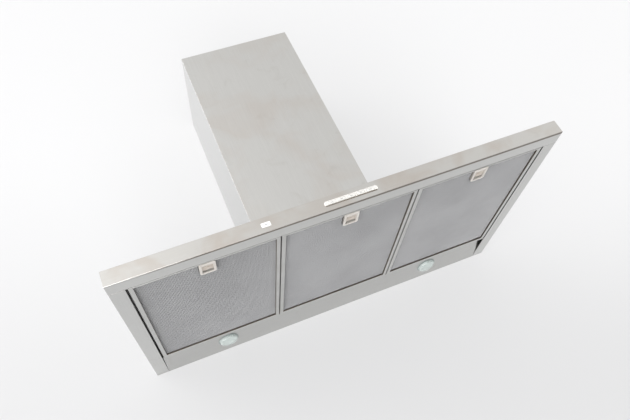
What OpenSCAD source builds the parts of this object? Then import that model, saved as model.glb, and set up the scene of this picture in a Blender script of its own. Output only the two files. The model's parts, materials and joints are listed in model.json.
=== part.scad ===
// Wall-mounted chimney cooker hood with a flat canopy, three grease filters and two lamps.
// Installed frame: +X to the right seen from the front, +Y into the wall, +Z up.
// The origin lies on the wall plane, at the middle of the canopy's rear bottom edge.

/* [Canopy] */
// Width of the canopy
canopy_w = 900; // [870:10:940]
// Depth of the canopy from the wall to the front face
canopy_d = 525; // [515:5:550]
// Height of the canopy's edge
canopy_h = 30; // [30:1:36]
// Thickness of the stainless sheet
sheet = 1; // [0.8:0.1:1.2]
// Width of the rail under the front edge
front_rail = 34; // [30:1:38]
// Width of the rail under each side edge
side_rail = 28.5; // [26:0.5:34]

/* [Flue] */
// Width of the lower flue
flue_w = 290; // [288:1:310]
// Depth of the lower flue
flue_d = 272; // [270:1:290]
// Height of the whole hood with the flue retracted
total_h = 690; // [660:10:760]
// Length of the telescoping upper flue
upper_flue_l = 482; // [430:1:482]
// Gap between the two flues
flue_gap = 2; // [1.5:0.5:3]

/* [Filters] */
// Thickness of a filter cassette
filter_t = 10; // [9.8:0.1:10]
// Width of the frame's side strip
stile_w = 8.5; // [8:0.5:12]
// Gap between neighbouring filters
filter_gap = 2; // [1:0.5:3]
// Gap between the outer filters and the side rails
side_slot = 4; // [3:0.5:5]
// Distance from the wall to the filters' rear edge
filter_back_d = 103; // [102:1:104]

/* [Lamps and controls] */
// Distance of each lamp from the middle
lamp_x = 267; // [240:1:290]
// Radius of the lamp glass
lamp_r = 24.5; // [24:0.5:26]
// Width of the control strip
control_w = 106; // [104:1:120]
// Height of the control strip
control_h = 10; // [9:0.5:11]
// Distance between neighbouring buttons
button_pitch = 19; // [18.5:0.5:19.5]

/* [Blower] */
// Radius of the duct spigot
spigot_r = 75; // [75:1:76]
// Radius of the impeller
impeller_r = 70; // [68:1:72]
// Number of impeller blades
blade_count = 36; // [24:2:44]

/* [Hidden] */
$fn = 48;

// Finishes
steel = "#c6c3bd";
aluminium = "#c9c9c7";
mesh_grey = "#a3a3a0";
zinc = "#aeb2b5";
ivory = "#d4d0ca";
dark = "#4a4a48";

// Canopy
half_w = canopy_w / 2;
top_z = canopy_h;
under_z = canopy_h - sheet;
rail_in_x = half_w - side_rail;
rail_in_y = -canopy_d + front_rail;
hem_w = 8;
stop_ledge_z = filter_t + 0.2;
stop_ledge_w = 6;

// Lamp panel: slopes up from the wall, then steps up to a shelf above the filters' rear edge
slope_d = 82;
slope_h = 8;
shelf_z = 12;
panel_front_d = 112;
panel_end_gap = 0.5;
slope_angle = atan(slope_h / (slope_d - sheet));
function slope_z(d) = slope_h * (d - sheet) / (slope_d - sheet);
lamp_d = 52;
lamp_z = slope_z(lamp_d);
lamp_hole_r = lamp_r - 2.5;

// Filters
filter_w = (canopy_w - 2 * side_rail - 2 * side_slot - 2 * filter_gap) / 3;
filter_pitch = filter_w + filter_gap;
filter_front = rail_in_y + 1;
filter_back = -filter_back_d;
frame_wall = 1;
strip_front = 4;
strip_back = 9;
mesh_x = filter_w / 2 - stile_w;
mesh_front = filter_front + strip_front;
mesh_back = filter_back - strip_back;
mesh_t = 0.8;
mesh_z = 4;
mesh_tuck = 2.5;
hinge_y = filter_back + 5;
hinge_z = 7;
hinge_pin_r = 1.2;
running_gap = 0.05;
lug_x = 100;

// Latches, measured back from the filter's front edge
latch_y = filter_front + 2;
latch_w = 31;
latch_l = 39;
latch_rim = 1.2;
pocket_x = 13;
pocket_front = filter_front + 8;
pocket_back = filter_front + 38.5;
pocket_z = 8;
pocket_wall = 1.2;
bolt_z = [3, 6];
bolt_x = 5;
bolt_reach = 0.4;
slide_l = 21.2;
bolt_back = filter_front + 16;
spring_z = 4.9;

// Controls
control_z = 14.5;
bezel_t = 1.2;
slot_h = 6;
button_w = 14.6;
button_h = 5.6;
fascia_in_y = -canopy_d + sheet;

// Flues
upper_w = flue_w - 2 * (sheet + flue_gap);
upper_front = -flue_d + sheet + flue_gap;
upper_top = total_h - 3;
upper_bottom = upper_top - upper_flue_l;

// Blower
plate_t = 1.5;
casing_w = 248;
casing_d = 241.5;
casing_top = 330;
back_plate_top = 400;
wall_hole_x = 100;
wall_hole_z = [70, 365];
wall_hole_r = 4;
inlet_x = 110;
inlet_y = [-235, -125];
spigot_y = -150;
spigot_h = 45;
spigot_wall = 1.5;
scroll_y = -118;
scroll_z = 140;
scroll_w = 76;
scroll_start_r = impeller_r + 10;
scroll_end_r = impeller_r + 38;
throat_y = 44;
scroll_inlet_r = 60;
motor_r = 40;
shaft_r = 4;
flap_z = casing_top + 15;
flap_axis = 4;
flap_pin_r = 1.5;

// A box given by its extents along each axis
module slab(x, y, z) {
    translate([x[0], y[0], z[0]])
        cube([x[1] - x[0], y[1] - y[0], z[1] - z[0]]);
}

// A profile drawn in Y and Z, extruded along X
module x_prism(x0, x1) {
    translate([x0, 0, 0]) rotate([90, 0, 90]) linear_extrude(x1 - x0) children();
}

// A cylinder along X about a point given as Y and Z
module x_rod(x0, x1, y, z, r) {
    translate([x0, y, z]) rotate([0, 90, 0]) cylinder(h = x1 - x0, r = r);
}

// A rectangle with round corners, built from exact arcs
module round_rect(w, l, r) {
    square([w - 2 * r, l], center = true);
    square([w, l - 2 * r], center = true);
    for (sx = [-1, 1], sy = [-1, 1])
        translate([sx * (w / 2 - r), sy * (l / 2 - r)]) circle(r);
}

// Middle of the left (-1), centre (0) or right (1) filter
function filter_x(side) = side * filter_pitch;

// ---- canopy ----

module canopy_top_plate() {
    color(steel) difference() {
        slab([-half_w, half_w], [-canopy_d, 0], [under_z, top_z]);
        slab([-inlet_x, inlet_x], inlet_y, [under_z - 1, top_z + 1]);
        screw_places() translate([0, 0, under_z - 1]) cylinder(h = sheet + 2, r = 2.05);
    }
}

module front_fascia() {
    color(steel) difference() {
        union() {
            slab([-half_w, half_w], [-canopy_d, fascia_in_y], [0, under_z]);
            slab([-half_w, half_w], [-canopy_d, rail_in_y], [0, sheet]);
            slab([-rail_in_x, rail_in_x], [rail_in_y - sheet, rail_in_y],
                 [0, stop_ledge_z + sheet]);
            slab([-rail_in_x, rail_in_x], [rail_in_y - sheet, rail_in_y + stop_ledge_w],
                 [stop_ledge_z, stop_ledge_z + sheet]);
        }
        slab([-control_w / 2 + 3, control_w / 2 - 3], [-canopy_d - 1, fascia_in_y + 1],
             [control_z - slot_h / 2, control_z + slot_h / 2]);
    }
}

module side_cheek(side) {
    mirror([side < 0 ? 1 : 0, 0, 0]) color(steel) union() {
        slab([half_w - sheet, half_w], [fascia_in_y, 0], [sheet, under_z]);
        slab([rail_in_x, half_w], [rail_in_y, -sheet], [0, sheet]);
        slab([rail_in_x, rail_in_x + hem_w], [rail_in_y, -sheet], [sheet, 2 * sheet]);
    }
}

module rear_panel() {
    color(steel)
        slab([-half_w + sheet, half_w - sheet], [-sheet, 0], [0, under_z]);
}

module lamp_panel() {
    end_x = rail_in_x - panel_end_gap;
    skin = sheet / cos(slope_angle);
    color(steel) difference() {
        x_prism(-end_x, end_x) polygon([
            [-sheet, 0], [-sheet, shelf_z], [-2 * sheet, shelf_z],
            [-2 * sheet, slope_z(2 * sheet) + skin],
            [-slope_d + sheet, slope_z(slope_d - sheet) + skin],
            [-slope_d + sheet, shelf_z + sheet],
            [-panel_front_d + sheet, shelf_z + sheet], [-panel_front_d + sheet, under_z],
            [-panel_front_d, under_z], [-panel_front_d, shelf_z],
            [-slope_d, shelf_z], [-slope_d, slope_h]
        ]);
        for (side = [-1, 1])
            lamp_place(side) translate([0, 0, -3]) cylinder(h = 8, r = lamp_hole_r);
        // A corner nipped off the slope's right end
        linear_extrude(shelf_z - 0.5) polygon([
            [end_x + 1, -28], [end_x + 1, -slope_d - 1], [end_x - 7, -slope_d - 1],
            [end_x - 7, -slope_d + 8]
        ]);
    }
}

// ---- filters ----

// One ear pair holds each hinge pin just behind a filter's rear edge
module hinge_brackets() {
    color(steel) for (side = [-1, 0, 1], end = [-1, 1])
        translate([filter_x(side) + end * lug_x, 0, 0]) difference() {
            union() {
                slab([-10, 10], [hinge_y - 8, hinge_y + 8], [shelf_z - sheet, shelf_z]);
                for (ear = [-1, 1]) {
                    x_rod(ear * 6.5 - 1, ear * 6.5 + 1, hinge_y, hinge_z, 3.2);
                    slab([ear * 6.5 - 1, ear * 6.5 + 1], [hinge_y - 3, hinge_y + 3],
                         [hinge_z, shelf_z - sheet]);
                }
            }
            x_rod(-11, 11, hinge_y, hinge_z, hinge_pin_r + running_gap);
        }
}

module filter_frame(side) {
    hw = filter_w / 2;
    color(aluminium) translate([filter_x(side), 0, 0]) difference() {
        union() {
            difference() {
                slab([-hw, hw], [filter_front, filter_back], [0, filter_t]);
                slab([-mesh_x, mesh_x], [mesh_front, mesh_back], [-1, filter_t + 1]);
                slab([-hw + frame_wall, hw - frame_wall],
                     [filter_front + frame_wall, filter_back - frame_wall],
                     [frame_wall, filter_t - frame_wall]);
            }
            difference() {
                slab([-mesh_x - frame_wall, mesh_x + frame_wall],
                     [mesh_front - frame_wall, mesh_back + frame_wall], [0, mesh_z]);
                slab([-mesh_x, mesh_x], [mesh_front, mesh_back], [-1, mesh_z + 1]);
            }
            for (end = [-1, 1]) translate([end * lug_x, 0, 0]) {
                slab([-4, 4], [filter_back - 0.5, hinge_y], [hinge_z - 2, hinge_z + 2]);
                x_rod(-4, 4, hinge_y, hinge_z, 2.8);
                x_rod(-9, 9, hinge_y, hinge_z, hinge_pin_r);
            }
        }
        slab([-bolt_x - 1, bolt_x + 1], [filter_front - 1, mesh_front + 1],
             [bolt_z[0] - 0.5, bolt_z[1] + 0.5]);
    }
}

module filter_mesh(side, z) {
    color(mesh_grey) translate([filter_x(side), 0, 0])
        slab([-mesh_x - mesh_tuck, mesh_x + mesh_tuck],
             [mesh_front - mesh_tuck, mesh_back + mesh_tuck], [z, z + mesh_t]);
}

module filter_face_mesh(side) {
    color(mesh_grey) difference() {
        filter_mesh(side, mesh_z);
        translate([filter_x(side), 0, 0])
            slab([-pocket_x - 0.3, pocket_x + 0.3],
                 [mesh_front - mesh_tuck - 1, pocket_back + 0.3], [0, mesh_z + mesh_t + 1]);
    }
}

module filter_rear_mesh(side) {
    filter_mesh(side, filter_t - frame_wall - mesh_t);
}

// ---- latches ----

module latch_housing(side) {
    color(ivory) translate([filter_x(side), 0, 0]) difference() {
        union() {
            translate([0, latch_y + latch_l / 2, -latch_rim])
                linear_extrude(latch_rim) round_rect(latch_w, latch_l, 4);
            slab([-pocket_x, pocket_x], [pocket_front, pocket_back], [-0.5, pocket_z]);
        }
        slab([-pocket_x + 2.4, pocket_x - 2.4], [pocket_front + 2.2, pocket_back - 2.2],
             [-latch_rim - 1, pocket_z - 2]);
        slab([-pocket_x + pocket_wall, pocket_x - pocket_wall],
             [pocket_front + pocket_wall, pocket_back - pocket_wall],
             [pocket_wall, pocket_z - 1]);
        slab([-bolt_x - 0.6, bolt_x + 0.6], [pocket_front - 1, pocket_front + 3],
             [bolt_z[0] - 0.3, bolt_z[1] + 0.3]);
    }
}

module latch_slide(side) {
    front = pocket_front + pocket_wall + 0.4;
    color(ivory) translate([filter_x(side), 0, 0]) union() {
        slab([-pocket_x + 1.8, pocket_x - 1.8], [front, front + slide_l], [1.4, bolt_z[0]]);
        slab([-bolt_x, bolt_x], [filter_front - bolt_reach, bolt_back], bolt_z);
        for (rib = [0, 1])
            slab([-8, 8], [front + 5 + 5 * rib, front + 6.2 + 5 * rib], [0.6, 1.4]);
    }
}

// A closed tube swept along a helix that runs along Y
function helix_point(a, r, pitch) = [r * cos(a), pitch * a / 360, r * sin(a)];

module coil_spring(r, wire, turns, length) {
    sides = 4;
    steps = turns * 8;
    pitch = (length - 2 * wire) / turns;
    points = [
        for (i = [0:steps], k = [0:sides - 1])
            let (a = 360 * turns * i / steps, b = 360 * k / sides,
                 c = helix_point(a, r, pitch))
                c + wire * [cos(b) * cos(a), sin(b), cos(b) * sin(a)]
    ];
    faces = concat(
        [[for (k = [0:sides - 1]) k]],
        [for (i = [0:steps - 1], k = [0:sides - 1])
            let (n = (k + 1) % sides, p = i * sides)
                [p + k, p + sides + k, p + sides + n, p + n]],
        [[for (k = [sides - 1:-1:0]) steps * sides + k]]
    );
    polyhedron(points, faces, convexity = 6);
}

module latch_spring(side) {
    wire = 0.3;
    gap = 0.15;
    length = pocket_back - pocket_wall - bolt_back - 2 * gap;
    color(zinc) translate([filter_x(side), bolt_back + gap + wire, spring_z])
        coil_spring(1.4, wire, 7, length);
}

// ---- lamps ----

// Local Z points away from the room, and Z = 0 is the panel's lower face
module lamp_place(side) {
    translate([side * lamp_x, -lamp_d, lamp_z]) rotate([-slope_angle, 0, 0]) children();
}

module lamp_lens(side) {
    color("#c9d2ce") lamp_place(side) rotate_extrude() polygon([
        [0, -6.5], [lamp_r - 6.5, -6.5], [lamp_r - 3.8, -5.6], [lamp_r - 1.8, -2.2],
        [lamp_r, -1.2], [lamp_r, 0], [lamp_r - 4.4, 0], [lamp_r - 6, -3], [lamp_r - 8, -3.8],
        [0, -3.8]
    ]);
}

module lamp_reflector(side) {
    color(aluminium) lamp_place(side) rotate_extrude() polygon([
        [lamp_hole_r - 0.8, sheet], [19, 7], [14, 12], [0, 13.5], [0, 14.5], [14.4, 12.8],
        [19.8, 7.4], [lamp_hole_r, sheet + 0.8], [lamp_hole_r + 5, sheet + 0.8],
        [lamp_hole_r + 5, sheet]
    ]);
}

module lamp_bulb(side) {
    color("#e6e8e4") lamp_place(side) union() {
        x_rod(-9, 5, 0, 4, 4);
        translate([-9, 0, 4]) sphere(4);
        for (s = [-1, 1]) x_rod(4, 11, s * 2, 4, 0.4);
    }
}

module lamp_socket(side) {
    color("#efece4") lamp_place(side) difference() {
        slab([6, 14], [-5, 5], [0, 8]);
        for (s = [-1, 1]) x_rod(5, 12, s * 2, 4, 0.45);
    }
}

module lamp_transformer() {
    color(dark) slab([-45, 45], [-60, -30], [shelf_z + 3.5, under_z]);
}

// ---- controls ----

module button_places() {
    for (i = [-2:2]) translate([i * button_pitch, 0, control_z]) children();
}

module control_bezel() {
    color("#eceae5") difference() {
        translate([0, -canopy_d, control_z]) rotate([90, 0, 0])
            linear_extrude(bezel_t) round_rect(control_w, control_h, control_h / 2 - 0.01);
        button_places()
            slab([-7.5, 7.5], [-canopy_d - 2, -canopy_d + 1], [-slot_h / 2, slot_h / 2]);
    }
}

module button(index) {
    stem_y = fascia_in_y + 1.3;
    color("#f2f1ed") translate([(index - 3) * button_pitch, 0, control_z]) union() {
        slab([-button_w / 2, button_w / 2], [-canopy_d - 1.8, fascia_in_y + 0.3],
             [-button_h / 2, button_h / 2]);
        slab([-8, 8], [fascia_in_y + 0.3, stem_y], [-3.8, 3.8]);
        slab([-3, 3], [stem_y, stem_y + 1.1], [-2, 2]);
    }
}

module control_board() {
    front = fascia_in_y + 6;
    color("#3f6b4a") union() {
        slab([-52, 52], [front, front + 1.6], [8, 25]);
        button_places() slab([-3, 3], [front - 2, front], [-3, 3]);
        for (s = [-1, 1])
            translate([s * 48, front, 22]) rotate([90, 0, 0]) cylinder(h = 6, r = 1.8);
    }
}

module front_label() {
    color("white") slab([-172, -155], [-canopy_d - 0.3, -canopy_d], [10.3, 19]);
}

// ---- flues ----

module flue_lower() {
    hw = flue_w / 2;
    foot = 12;
    color(steel) difference() {
        union() {
            slab([-hw, hw], [-flue_d, -flue_d + sheet], [top_z, total_h]);
            slab([-hw + sheet, hw - sheet], [-flue_d + sheet, -flue_d + foot],
                 [top_z, top_z + sheet]);
            for (side = [-1, 1]) mirror([side < 0 ? 1 : 0, 0, 0]) {
                slab([hw - sheet, hw], [-flue_d, 0], [top_z, total_h]);
                slab([hw - 15, hw], [-sheet, 0], [top_z, total_h]);
                slab([hw - foot, hw], [-flue_d, 0], [top_z, top_z + sheet]);
                slab([hw - 5, hw], [-150, -130], [upper_bottom - 2, upper_bottom]);
            }
        }
        screw_places() translate([0, 0, top_z - 1]) cylinder(h = sheet + 2, r = 2.05);
    }
}

module flue_upper() {
    hw = upper_w / 2;
    color(steel) difference() {
        union() {
            slab([-hw, hw], [upper_front, upper_front + sheet], [upper_bottom, upper_top]);
            for (side = [-1, 1]) mirror([side < 0 ? 1 : 0, 0, 0]) {
                slab([hw - sheet, hw], [upper_front, -2 - sheet], [upper_bottom, upper_top]);
                slab([hw - 14, hw], [-2 - sheet, -2], [upper_bottom, upper_top]);
            }
        }
        for (i = [0:5])
            slab([-hw - 1, hw + 1], [-190, -90],
                 [upper_top - 40 - 9 * i, upper_top - 36 - 9 * i]);
    }
}

// Screws through the flue's foot
module screw_places() {
    for (s = [-1, 1]) {
        translate([s * 100, -flue_d + 7, 0]) children();
        for (y = [-200, -60]) translate([s * (flue_w / 2 - 7), y, 0]) children();
    }
}

module pan_screw(head_z) {
    translate([0, 0, under_z - 2]) cylinder(h = head_z - under_z + 2, r = 2);
    difference() {
        translate([0, 0, head_z]) cylinder(h = 2.4, r = 4);
        translate([-0.5, -4, head_z + 1.4]) cube([1, 8, 2]);
        translate([-4, -0.5, head_z + 1.4]) cube([8, 1, 2]);
    }
}

module canopy_screws() {
    color(zinc) screw_places() pan_screw(top_z + sheet);
}

// ---- blower ----

module blower_casing() {
    hw = casing_w / 2;
    color(zinc) difference() {
        union() {
            for (side = [-1, 1]) mirror([side < 0 ? 1 : 0, 0, 0])
                slab([hw - plate_t, hw], [-casing_d, -plate_t], [top_z, casing_top]);
            slab([-hw, hw], [-casing_d, -casing_d + plate_t], [top_z, casing_top]);
            slab([-hw, hw], [-casing_d, -plate_t], [top_z, top_z + plate_t]);
            slab([-hw, hw], [-casing_d, -plate_t], [casing_top - plate_t, casing_top]);
        }
        slab([-inlet_x, inlet_x], inlet_y, [top_z - 1, top_z + plate_t + 1]);
        translate([0, spigot_y, casing_top - 5]) cylinder(h = 10, r = spigot_r - spigot_wall);
    }
}

// Closes the casing at the back and carries the hood on the wall
module blower_back_plate() {
    color(zinc) difference() {
        slab([-casing_w / 2, casing_w / 2], [-plate_t, 0], [top_z, back_plate_top]);
        for (s = [-1, 1], z = wall_hole_z)
            translate([s * wall_hole_x, 1, z]) rotate([90, 0, 0])
                cylinder(h = plate_t + 2, r = wall_hole_r);
    }
}

// The scroll's outline: a spiral that opens into a straight throat, inset by the wall
function scroll_outline(inset, top) = concat(
    [for (i = [0:40])
        let (a = start_angle() - (start_angle() + 180) * i / 40,
             r = scroll_start_r + (scroll_end_r - scroll_start_r) * i / 40 - inset)
            [scroll_y + r * cos(a), scroll_z + r * sin(a)]],
    [[scroll_y - scroll_end_r + inset, top], [scroll_y + throat_y - inset, top]]
);
function start_angle() = acos(throat_y / scroll_start_r);

module scroll_half(side) {
    top = casing_top - plate_t;
    mirror([side < 0 ? 1 : 0, 0, 0]) color(zinc) difference() {
        x_prism(0, scroll_w) polygon(scroll_outline(0, top));
        x_prism(-1, scroll_w - plate_t) polygon(scroll_outline(plate_t, top + 1));
        x_rod(scroll_w - 5, scroll_w + 1, scroll_y, scroll_z, scroll_inlet_r);
    }
}

module impeller() {
    half_l = 68;
    color(zinc) translate([0, scroll_y, scroll_z]) difference() {
        union() {
            x_rod(-1.5, 1.5, 0, 0, impeller_r);
            x_rod(-14, 1.5, 0, 0, 12);
            for (s = [-1, 1]) difference() {
                x_rod(s * (half_l - 1) - 1, s * (half_l - 1) + 1, 0, 0, impeller_r);
                x_rod(s * half_l - 4, s * half_l + 4, 0, 0, impeller_r - 9);
            }
            for (i = [0:blade_count - 1])
                rotate([360 * i / blade_count, 0, 0]) translate([0, impeller_r - 5, 0])
                    rotate([35, 0, 0]) cube([2 * half_l - 2, 8, 0.8], center = true);
        }
        x_rod(-15, 2, 0, 0, shaft_r);
    }
}

module motor_shaft() {
    color("silver") x_rod(-14, 40, scroll_y, scroll_z, shaft_r);
}

module motor() {
    color(dark) difference() {
        union() {
            x_rod(12, 72, scroll_y, scroll_z, motor_r - 3);
            x_rod(22, 52, scroll_y, scroll_z, motor_r);
            x_rod(8, 12, scroll_y, scroll_z, 14);
            x_rod(72, scroll_w, scroll_y, scroll_z, 24);
        }
        x_rod(7, 42, scroll_y, scroll_z, shaft_r + running_gap);
    }
}

module motor_bracket() {
    color(zinc) translate([scroll_w, scroll_y, scroll_z]) union() {
        x_rod(0, 3, 0, 0, 24);
        for (a = [90, 210, 330])
            rotate([a, 0, 0]) slab([0, 3], [0, scroll_inlet_r + 10], [-6, 6]);
    }
}

module capacitor() {
    color("#d8d6d0") translate([-104, -60, top_z + plate_t]) cylinder(h = 50, r = 14);
}

// ---- outlet ----

module outlet_spigot() {
    inner_r = spigot_r - spigot_wall;
    color(dark) translate([0, spigot_y, casing_top]) difference() {
        union() {
            difference() {
                union() {
                    cylinder(h = spigot_h, r = spigot_r, $fn = 96);
                    cylinder(h = 2, r = spigot_r + 9, $fn = 96);
                }
                translate([0, 0, -1]) cylinder(h = spigot_h + 2, r = inner_r, $fn = 96);
            }
            intersection() {
                union() {
                    rotate_extrude($fn = 96) polygon([
                        [inner_r - 3.5, 11.5], [spigot_r - 0.5, 11.5], [spigot_r - 0.5, 13.2],
                        [inner_r - 3.5, 13.2]
                    ]);
                    slab([-spigot_r, spigot_r], [-6, 6], [11.2, 12.2]);
                    for (s = [-1, 1], f = [-1, 1])
                        x_rod(s * 72 - 2.5, s * 72 + 2.5, f * flap_axis, 15, 3.2);
                }
                cylinder(h = spigot_h, r = spigot_r - 0.5, $fn = 96);
            }
        }
        for (f = [-1, 1])
            x_rod(-73.2, 73.2, f * flap_axis, 15, flap_pin_r + running_gap);
    }
}

// A half disc with a tube and two pins along its straight edge
module damper_flap(side) {
    color("#5a5c5c") translate([0, spigot_y, flap_z]) mirror([0, side < 0 ? 1 : 0, 0]) union() {
        difference() {
            intersection() {
                translate([0, 0, -0.6]) cylinder(h = 1.2, r = spigot_r - 2.5, $fn = 96);
                slab([-80, 80], [flap_axis, 80], [-1, 1]);
            }
            for (s = [-1, 1])
                slab([s * 74 - 5.2, s * 74 + 5.2], [0, flap_axis + 4], [-1, 1]);
        }
        x_rod(-68.8, 68.8, flap_axis, 0, 2.2);
        x_rod(-72.8, 72.8, flap_axis, 0, flap_pin_r);
    }
}

// ---- mains connection ----

module terminal_box() {
    x = [76, 120];
    y = [-54, -10];
    z = [casing_top, casing_top + 32];
    color(dark) difference() {
        slab(x, y, z);
        slab([x[0] + 2, x[1] - 2], [y[0] - 1, y[1] - 2], [z[0] + 2, z[1] - 2]);
        translate([98, -30, z[1] - 3]) cylinder(h = 4, r = 6 + running_gap);
    }
}

module terminal_cover() {
    color(dark) slab([76, 120], [-56, -54], [casing_top, casing_top + 32]);
}

module cable_gland() {
    box_top = casing_top + 32;
    color("#2f2f2f") translate([98, -30, box_top]) difference() {
        union() {
            translate([0, 0, -6]) cylinder(h = 6, r = 6);
            cylinder(h = 5, r = 9, $fn = 6);
            translate([0, 0, 5]) cylinder(h = 10, r = 7.5);
        }
        translate([0, 0, -7]) cylinder(h = 23, r = 4);
    }
}

canopy_top_plate();
front_fascia();
side_cheek(-1);  // side_cheek_left
side_cheek(1);  // side_cheek_right
rear_panel();
lamp_panel();
hinge_brackets();
filter_frame(-1);  // filter_left_frame
filter_frame(0);  // filter_centre_frame
filter_frame(1);  // filter_right_frame
filter_face_mesh(-1);  // filter_left_face_mesh
filter_face_mesh(0);  // filter_centre_face_mesh
filter_face_mesh(1);  // filter_right_face_mesh
filter_rear_mesh(-1);  // filter_left_rear_mesh
filter_rear_mesh(0);  // filter_centre_rear_mesh
filter_rear_mesh(1);  // filter_right_rear_mesh
latch_housing(-1);  // latch_left_housing
latch_housing(0);  // latch_centre_housing
latch_housing(1);  // latch_right_housing
latch_slide(-1);  // latch_left_slide
latch_slide(0);  // latch_centre_slide
latch_slide(1);  // latch_right_slide
latch_spring(-1);  // latch_left_spring
latch_spring(0);  // latch_centre_spring
latch_spring(1);  // latch_right_spring
lamp_lens(-1);  // lamp_lens_left
lamp_lens(1);  // lamp_lens_right
lamp_reflector(-1);  // lamp_reflector_left
lamp_reflector(1);  // lamp_reflector_right
lamp_bulb(-1);  // lamp_bulb_left
lamp_bulb(1);  // lamp_bulb_right
lamp_socket(-1);  // lamp_socket_left
lamp_socket(1);  // lamp_socket_right
lamp_transformer();
control_bezel();
button(1);  // button_1
button(2);  // button_2
button(3);  // button_3
button(4);  // button_4
button(5);  // button_5
control_board();
front_label();
flue_lower();
flue_upper();
blower_casing();
blower_back_plate();
scroll_half(-1);  // scroll_left
scroll_half(1);  // scroll_right
impeller();
motor_shaft();
motor();
motor_bracket();
capacitor();
outlet_spigot();
damper_flap(-1);  // damper_flap_front
damper_flap(1);  // damper_flap_rear
terminal_box();
terminal_cover();
cable_gland();
canopy_screws();
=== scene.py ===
# %% [markdown]
# # A wall-mounted chimney cooker hood
# A flat stainless canopy with three grease filters and two lamps hangs under a box flue.
# The design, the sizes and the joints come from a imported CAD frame. This file gives each
# visible piece its bends, edges and finish. Everything is in metres: +X is to the right
# seen from the front, +Y goes into the wall and +Z goes up.

# %% Load the frame
import bpy
import bmesh
import json
import math
from mathutils import Matrix, Vector

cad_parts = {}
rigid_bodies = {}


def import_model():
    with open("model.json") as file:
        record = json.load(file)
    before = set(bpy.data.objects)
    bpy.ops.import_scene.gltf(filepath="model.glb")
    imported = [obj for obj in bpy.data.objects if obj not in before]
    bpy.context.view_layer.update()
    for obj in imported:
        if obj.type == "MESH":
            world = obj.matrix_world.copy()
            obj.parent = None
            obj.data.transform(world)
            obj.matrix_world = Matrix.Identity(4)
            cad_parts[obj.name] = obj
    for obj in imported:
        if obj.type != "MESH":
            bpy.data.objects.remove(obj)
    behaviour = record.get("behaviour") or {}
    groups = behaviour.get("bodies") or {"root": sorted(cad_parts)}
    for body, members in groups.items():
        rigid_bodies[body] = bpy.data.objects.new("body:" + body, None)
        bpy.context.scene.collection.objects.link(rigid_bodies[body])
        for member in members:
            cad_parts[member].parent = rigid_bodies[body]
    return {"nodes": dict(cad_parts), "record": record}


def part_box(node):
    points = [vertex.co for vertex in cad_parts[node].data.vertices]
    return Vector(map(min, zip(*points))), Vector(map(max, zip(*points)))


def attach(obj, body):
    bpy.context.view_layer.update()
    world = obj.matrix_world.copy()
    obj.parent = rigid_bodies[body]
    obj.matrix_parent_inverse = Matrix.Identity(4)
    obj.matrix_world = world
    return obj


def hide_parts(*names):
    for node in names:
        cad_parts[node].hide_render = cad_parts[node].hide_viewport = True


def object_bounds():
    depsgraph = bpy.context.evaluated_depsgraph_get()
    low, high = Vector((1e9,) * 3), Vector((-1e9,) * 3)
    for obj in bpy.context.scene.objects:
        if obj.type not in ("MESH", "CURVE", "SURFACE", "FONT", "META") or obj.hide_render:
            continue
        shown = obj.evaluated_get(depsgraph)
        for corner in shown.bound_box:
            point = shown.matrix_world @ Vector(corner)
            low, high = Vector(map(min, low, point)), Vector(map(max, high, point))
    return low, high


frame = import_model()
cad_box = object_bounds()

MM = 0.001

# %% [markdown]
# ## Small helpers
# Colours are written as the hex codes that a colour picker shows, which are sRGB, and the
# shader wants linear light, so one function turns the one into the other. One more function
# adds a node to any tree, sets what it is given and makes the links. A material is started,
# given its pattern nodes and then finished with a Principled surface.

# %% Colour and node helpers
def linear(code):
    """Turns an sRGB hex colour into linear red, green, blue and alpha."""
    channels = [int(code[i:i + 2], 16) / 255 for i in (1, 3, 5)]
    curve = [c / 12.92 if c <= 0.04045 else ((c + 0.055) / 1.055) ** 2.4 for c in channels]
    return (*curve, 1.0)


def add(tree, kind, inputs=None, stops=(), **settings):
    """Adds a node, makes its settings and a ramp's stops, and sets or links its inputs.

    An input is a value, a socket, or a node, which stands for its first output in use.
    """
    node = tree.nodes.new(kind)
    for key, value in settings.items():
        setattr(node, key, value)
    for element, (place, colour) in zip(node.color_ramp.elements if stops else (), stops):
        element.position = place
        element.color = colour
    for socket, value in (inputs or {}).items():
        if isinstance(value, bpy.types.Node):
            value = next(output for output in value.outputs if output.enabled)
        if isinstance(value, bpy.types.NodeSocket):
            tree.links.new(value, node.inputs[socket])
        else:
            node.inputs[socket].default_value = value
    return node


def start_material(name):
    """A new material, its empty tree and the object coordinates in it."""
    material = bpy.data.materials.new(name)
    material.use_nodes = True
    tree = material.node_tree
    tree.nodes.clear()
    return material, tree, add(tree, "ShaderNodeTexCoord").outputs["Object"]


def finish_material(material, surface):
    """Gives the material a Principled surface with these inputs."""
    tree = material.node_tree
    shader = add(tree, "ShaderNodeBsdfPrincipled", surface)
    add(tree, "ShaderNodeOutputMaterial", {"Surface": shader})
    return material


WHITE = (1, 1, 1, 1)
print("helpers ready")
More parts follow.
